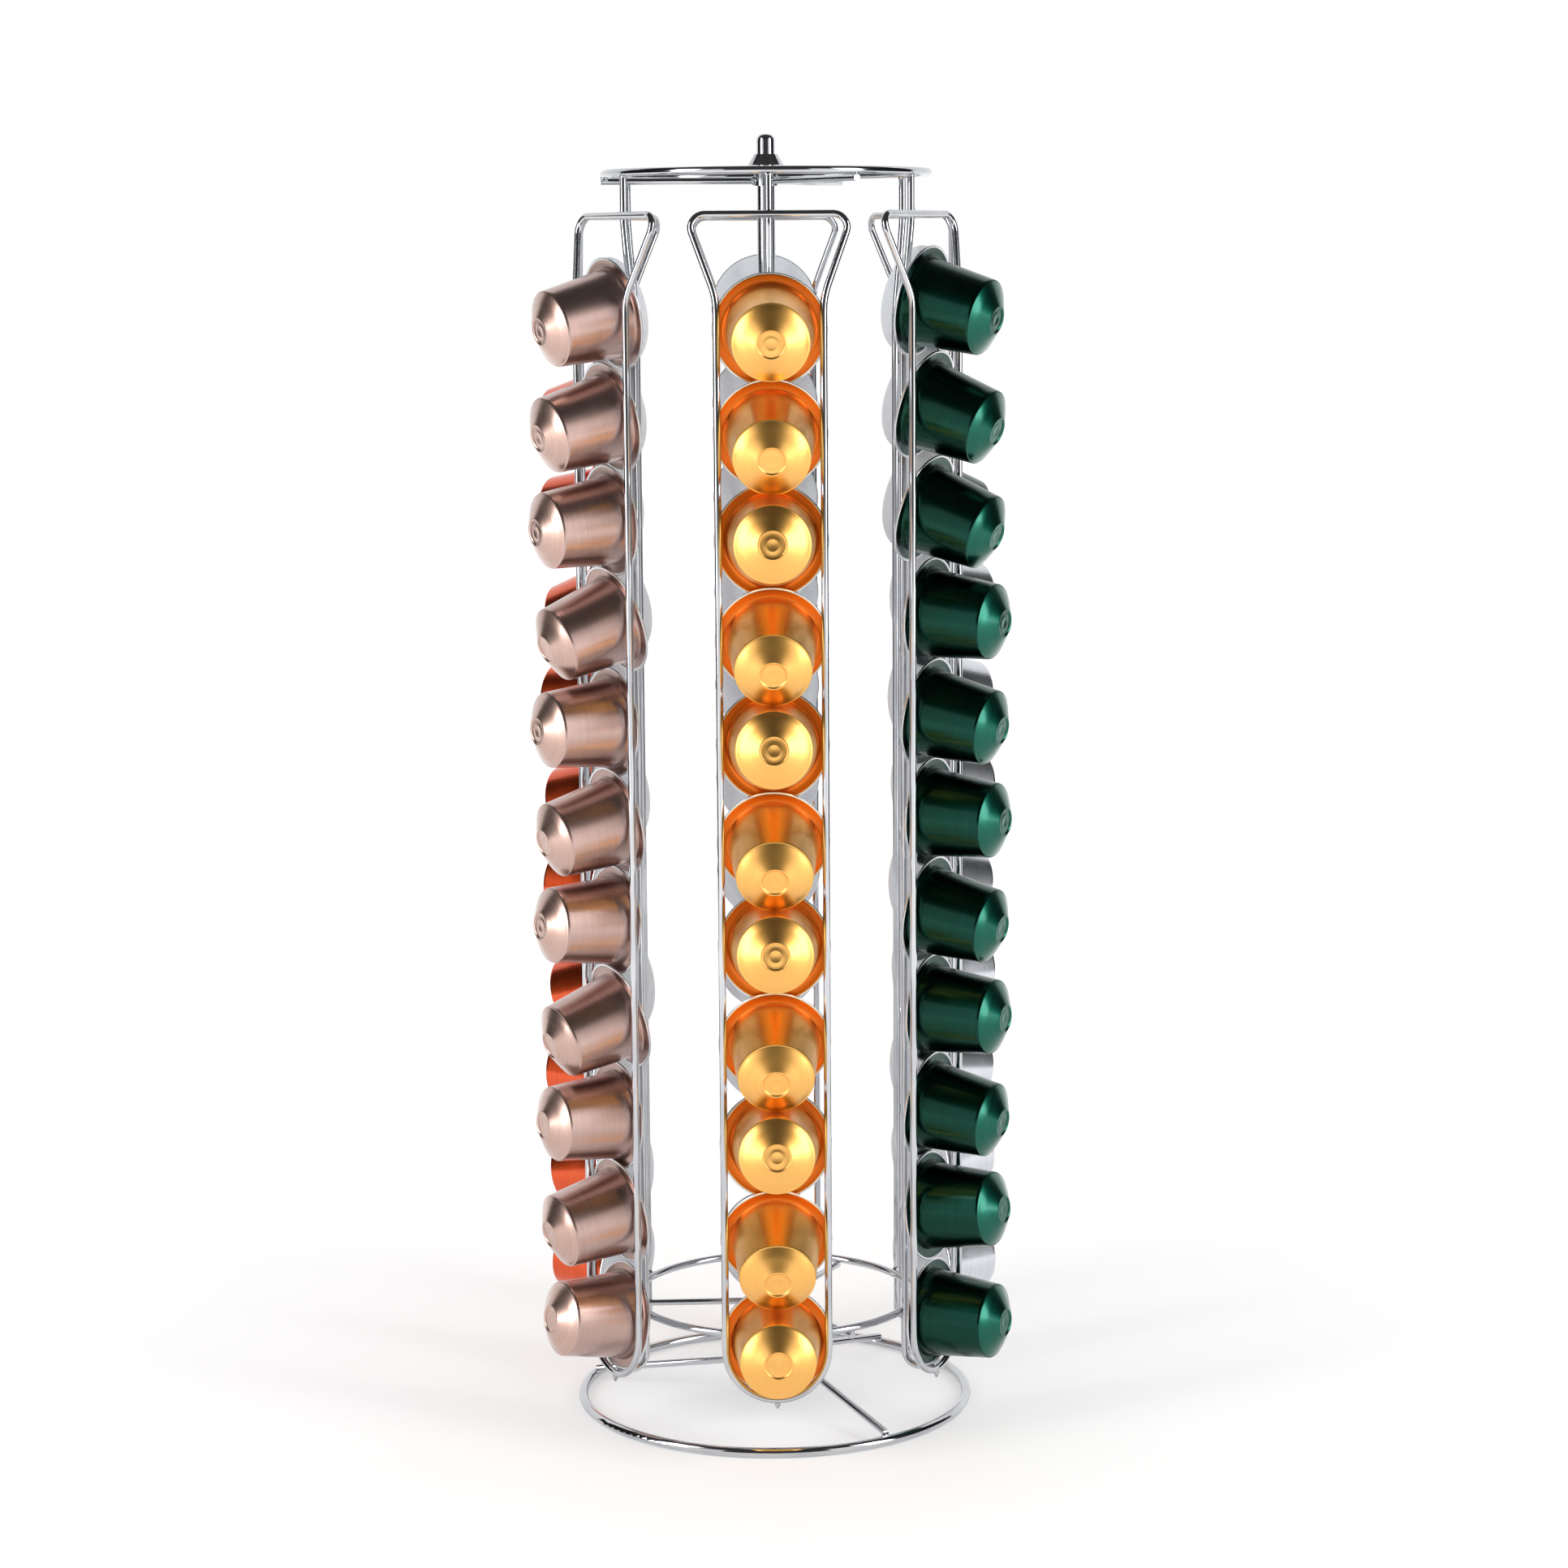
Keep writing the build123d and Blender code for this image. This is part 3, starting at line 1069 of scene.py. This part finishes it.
@dataclass
class Welds:
    """The plated beads where the wires are welded together, in millimetres.

    A bead's size is its radius across, outward and up. An angle runs from the front towards the right.
    """

    wire_r: float = 1.2
    spoke_r: float = 1.1
    ring_wire_r: float = 1.3
    gap: float = 0.05
    post_r: float = 3.0
    leg_wire_r: float = 1.25
    leg_end: Pair = (65.35, 2.8)
    leg_height_at_post: float = 14.89
    column_turns: tuple[float, ...] = (0, 60, 120, 180, 240, 300)
    spoke_turns: tuple[float, ...] = (-88.7, 31.3, 151.3)
    leg_turns: tuple[float, ...] = (29.8, 140, 249)
    seed: int = 5
    unevenness: float = 0.10
    hanger_bead: Triple = (1.65, 1.55, 0.9)
    wire_bead: Triple = (1.5, 0.75, 1.5)
    foot_bead: Triple = (1.5, 0.9, 1.4)
    spoke_bead: Triple = (1.35, 1.45, 0.7)
    hub_bead: Triple = (1.6, 0.8, 1.5)
    post_bead: Triple = (0.7, 1.8, 1.45)
    leg_bead: Triple = (1.6, 1.1, 1.15)
    hanger_set_out: float = 0.1
    bar_set_out: float = 0.2
    hub_set_out: float = 0.3

    def build_bead(self) -> bpy.types.Object:
        """Model one bead, a little uneven, with a radius of 1 mm.

        Returns:
            The master bead.
        """
        deselect_all()
        bpy.ops.mesh.primitive_uv_sphere_add(segments=12, ring_count=8, radius=MM)
        bead = bpy.context.object
        bead.name = "master_bead"
        bpy.ops.object.mode_set(mode="EDIT")
        bpy.ops.mesh.select_all(action="SELECT")
        bpy.ops.transform.vertex_random(
            offset=self.unevenness * MM, uniform=0.4, normal=0.6, seed=self.seed
        )
        bpy.ops.mesh.vertices_smooth(factor=0.3, repeat=1)
        bpy.ops.object.mode_set(mode="OBJECT")
        rounded = bead.modifiers.new("rounded", "SUBSURF")
        rounded.levels = rounded.render_levels = 1
        bpy.ops.object.modifier_apply(modifier=rounded.name)
        bpy.ops.object.shade_smooth()
        bead.data.materials.append(None)
        return bead

    def build_tip(self) -> bpy.types.Object:
        """Model the cut end of a foot wire, drawn out to a small point below its loop.

        Returns:
            The master tip.
        """
        tip = turn(
            "master_tip",
            [(0.55, 0.6), (1.0, 0.3), (1.05, -0.3), (0.85, -0.9), (0.5, -1.5), (0.22, -1.9), (0, -2.0)],
            16,
        )
        smooth(tip, 50)
        tip.data.materials.append(None)
        return tip

    def at(self, turned: float, across: float, outward: float, height: float, radii: Triple) -> Matrix:
        """The place of a bead.

        Args:
            turned: angle about the post.
            across: distance across that direction.
            outward: distance from the post's axis.
            height: height above the table.
            radii: the bead's size across, outward and up.

        Returns:
            The matrix that takes the master bead there.
        """
        place = Matrix.Rotation(radians(turned), 4, "Z")
        place = place @ Matrix.Translation(Vector((across, -outward, height)) * MM)
        return place @ Matrix.Diagonal((*radii, 1.0))

    def ring(self, name: str) -> Pair:
        """The middle radius and the height of a ring of the frame.

        Args:
            name: the ring's node.

        Returns:
            Both, in millimetres.
        """
        low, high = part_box(name)
        return (high[0] - low[0]) / 2 / MM - self.ring_wire_r, (high[2] + low[2]) / 2 / MM

    def build(self, finishes: Materials) -> None:
        """Put a bead at every weld, and a tip below every loop.

        Args:
            finishes: every built material, by name.
        """
        top_r, top_z = self.ring("top_ring")
        low_r, low_z = self.ring("lower_ring")
        mouth_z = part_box("front_loop_front")[1][2] / MM - self.wire_r
        foot_end = -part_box("back_wire_front")[0][1] / MM
        foot_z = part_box("back_wire_front")[0][2] / MM + self.wire_r
        hub_r = {end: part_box(f"{end}_hub")[1][0] / MM for end in ("top", "lower")}
        bar_r = top_r + self.bar_set_out + self.wire_r + self.gap / 2
        hanger_r, hanger_z = top_r + self.hanger_set_out, top_z - self.ring_wire_r
        cage, tips, stand = [], [], []
        for turned in self.column_turns:
            cage.append(self.at(turned, 0, hanger_r, hanger_z, self.hanger_bead))
            cage.append(self.at(turned, 0, bar_r, mouth_z, self.wire_bead))
            cage.append(self.at(turned, 0, low_r + self.ring_wire_r, low_z, self.wire_bead))
            cage.append(self.at(turned, 0, foot_end, foot_z, self.foot_bead))
            tips.append(self.at(turned, 0, foot_end + self.wire_r, foot_z - self.wire_r, (1, 1, 1)))
        drop = self.ring_wire_r + self.gap / 2
        below = drop + self.gap / 2 + self.spoke_r
        for turned in self.spoke_turns:
            for end, radius, height in (("top", top_r, top_z), ("lower", low_r, low_z)):
                hub_end = hub_r[end] + self.hub_set_out
                cage.append(self.at(turned, 0, radius, height - drop, self.spoke_bead))
                cage.append(self.at(turned, 0, hub_end, height - below, self.hub_bead))
        beside = self.post_r + self.leg_wire_r + self.gap
        for turned in self.leg_turns:
            stand.append(self.at(turned, self.post_r, 0, self.leg_height_at_post, self.post_bead))
            stand.append(self.at(turned, beside, *self.leg_end, self.leg_bead))
        bead, tip = self.build_bead(), self.build_tip()
        self.place_all("weld_beads_cage", bead, cage, "cage", finishes)
        self.place_all("weld_tips_cage", tip, tips, "cage", finishes)
        self.place_all("weld_beads_stand", bead, stand, "stand", finishes)
        for master in (bead, tip):
            bpy.data.objects.remove(master)

    def place_all(
        self,
        name: str,
        master: bpy.types.Object,
        places: list[Matrix],
        body: str,
        finishes: Materials,
    ) -> None:
        """Join copies of a master into one named piece that rides on a body.

        Args:
            name: name of the piece.
            master: the bead or tip to copy.
            places: where the copies go.
            body: the body that they ride on.
            finishes: every built material, by name.
        """
        piece = join(name, [copy_to(master, place, 0.0) for place in places])
        piece.data.materials[0] = finishes[WELD_FINISH.name]
        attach(piece, body)
        log.info("%s: %d on %s", name, len(places), body)


# Studio


@dataclass(frozen=True)
class Softbox:
    """A soft area light: its name, where it stands, its width and height, and its power in watts."""

    name: str
    place: Triple
    size: Pair = (0.55, 1.6)
    power: float = 13.0


@dataclass(frozen=True)
class Card:
    """A dark card: its place, width and height, turn about X and then Z in degrees, and tone from 0 to 1."""

    name: str
    place: Triple
    size: Pair
    turned: Pair
    tone: float
    roughness: float = 0.9


@dataclass
class Studio:
    """The floor, the light and the camera, in metres."""

    camera_place: Triple = (-0.01763, -1.20845, 0.3968)
    lens: float = 82.037
    sensor: float = 36.0
    clip: Pair = (0.01, 50.0)
    pitch: float = 8.494
    yaw: float = 1.057
    roll: float = -0.394
    floor_size: float = 12.0
    floor_height: float = -0.0002
    floor_tones: Pair = (0.80, 0.82)
    floor_lift: Pair = (0.33, 0.60)
    floor_reach: Pair = (0.10, 0.90)
    room_light: float = 0.62
    aim: Triple = (0.0, 0.0, 0.22)
    softboxes: tuple[Softbox, ...] = (
        Softbox("left", (-1.56, -0.90, 0.807)),
        Softbox("right", (1.56, -0.90, 0.807)),
    )
    cards: tuple[Card, ...] = (
        Card("ceiling", (0.0, -0.7, 1.9), (5.0, 3.4), (0, 0), 0.06),
        Card("lens", (-0.014, -2.3, 1.0), (2.7, 1.8), (90, 0), 0.08),
        Card("left", (-1.1, 0.16, 0.5), (1.1, 1.6), (90, -80), 0.02),
        Card("right", (1.1, 0.16, 0.5), (1.1, 1.6), (90, 80), 0.02),
    )

    def build(self) -> None:
        """Build the whole studio."""
        self.build_camera()
        self.build_floor()
        self.build_world()
        for softbox in self.softboxes:
            self.add_softbox(softbox)
        for card in self.cards:
            self.add_card(card)
        bpy.context.scene.view_settings.view_transform = "Standard"

    def build_camera(self) -> None:
        """Set the camera where the photograph was taken from."""
        pitch, yaw, roll = radians(self.pitch), radians(self.yaw), radians(self.roll)
        ahead = Vector((sin(yaw) * cos(pitch), cos(yaw) * cos(pitch), -sin(pitch)))
        level = Vector((cos(yaw), -sin(yaw), 0))
        upright = level.cross(ahead)
        right = level * cos(roll) + upright * sin(roll)
        above = -level * sin(roll) + upright * cos(roll)
        data = bpy.data.cameras.new("camera")
        data.sensor_width = data.sensor_height = self.sensor
        data.sensor_fit = "HORIZONTAL"
        data.lens = self.lens
        data.clip_start, data.clip_end = self.clip
        camera = bpy.data.objects.new("camera", data)
        turned = Matrix((right, above, -ahead)).transposed().to_4x4()
        turned.translation = Vector(self.camera_place)
        camera.matrix_world = turned
        bpy.context.scene.collection.objects.link(camera)
        bpy.context.scene.camera = camera

    def seen_rays(self, tree: NodeTree) -> bpy.types.NodeSocket:
        """1 for the rays that should see a white background, and 0 for those that light.

        Args:
            tree: the node tree that asks.

        Returns:
            The socket of that number.
        """
        path = tree.add("ShaderNodeLightPath").outputs
        seen = tree.math("MAXIMUM", path["Is Camera Ray"], path["Is Glossy Ray"])
        return tree.math("MAXIMUM", seen, path["Is Transmission Ray"])

    def build_floor(self) -> None:
        """Lay a plain pale floor that keeps the shadow, and is lifted to white further out."""
        deselect_all()
        bpy.ops.mesh.primitive_plane_add(size=self.floor_size, location=(0, 0, self.floor_height))
        floor = bpy.context.object
        floor.name = "floor"
        material, tree, shader = new_material("floor_pale")
        tree.tree.nodes.remove(shader)
        here = tree.add("ShaderNodeTexCoord").outputs["Object"]
        clouds = tree.add("ShaderNodeTexNoise", Vector=here, Scale=2.0, Detail=2.0)
        darker, paler = (rgba((tone, tone, tone)) for tone in self.floor_tones)
        matt = tree.add("ShaderNodeBsdfDiffuse", Color=tree.mix(clouds.outputs[0], darker, paler))
        away = tree.add("ShaderNodeVectorMath", operation="LENGTH", _0=here).outputs["Value"]
        whiter = tree.ramp(away, self.floor_reach, self.floor_lift)
        lift = tree.math("MULTIPLY", self.seen_rays(tree), whiter)
        glow = tree.add("ShaderNodeEmission", Strength=lift)
        both = tree.add("ShaderNodeAddShader", _0=matt.outputs[0], _1=glow.outputs[0])
        tree.feed(tree.tree.nodes["Material Output"], Surface=both.outputs[0])
        floor.data.materials.append(material)

    def build_world(self) -> None:
        """A white background, and a softer even light from all round."""
        world = bpy.data.worlds.new("studio")
        bpy.context.scene.world = world
        world.use_nodes = True
        world.node_tree.nodes.clear()
        tree = NodeTree(world.node_tree)
        white = rgba((1, 1, 1))
        even = tree.add("ShaderNodeBackground", Color=white, Strength=self.room_light)
        seen = tree.add("ShaderNodeBackground", Color=white, Strength=1.0)
        both = tree.add(
            "ShaderNodeMixShader", _0=self.seen_rays(tree), _1=even.outputs[0], _2=seen.outputs[0]
        )
        tree.add("ShaderNodeOutputWorld", Surface=both.outputs[0])

    def add_softbox(self, softbox: Softbox) -> None:
        """Add a soft area light that looks at the middle of the dispenser.

        Args:
            softbox: the light to add.
        """
        data = bpy.data.lights.new(f"softbox_{softbox.name}", "AREA")
        data.shape = "RECTANGLE"
        data.size, data.size_y = softbox.size
        data.energy = softbox.power
        light = bpy.data.objects.new(f"softbox_{softbox.name}", data)
        light.location = softbox.place
        ahead = Vector(self.aim) - Vector(softbox.place)
        light.rotation_euler = ahead.to_track_quat("-Z", "Y").to_euler()
        bpy.context.scene.collection.objects.link(light)

    def add_card(self, card: Card) -> None:
        """Hang a dark card that only reflections see, for the dark lines in the chrome.

        Args:
            card: the card to hang.
        """
        deselect_all()
        tilt, turned = map(radians, card.turned)
        bpy.ops.mesh.primitive_plane_add(size=1, location=card.place, rotation=(tilt, 0, turned))
        piece = bpy.context.object
        piece.name = f"card_{card.name}"
        piece.scale = (*card.size, 1)
        material, tree, shader = new_material(f"card_dark_{card.name}")
        tone = rgba((card.tone, card.tone, card.tone))
        tree.feed(shader, Base_Color=tone, Roughness=card.roughness, Specular_IOR_Level=0.0)
        piece.data.materials.append(material)
        piece.visible_camera = False
        piece.visible_diffuse = False
        piece.visible_shadow = False
        piece.visible_transmission = False


def main() -> None:
    """Build the dispenser's looks and its studio."""
    Studio().build()
    surfaces.build()
    recipes = [ChromeFinish(), FoilFinish(), NylonFinish(), RIM_FINISH, WELD_FINISH]
    recipes += [*SIDE_FINISHES_WITH_PAINTED_SHADE.values(), *NOSE_FINISHES.values()]
    finishes = {recipe.name: recipe.build() for recipe in recipes}
    CapsuleColumns().build(finishes)
    WireCage().dress(finishes)
    Welds().build(finishes)


if __name__ == "__main__":
    main()
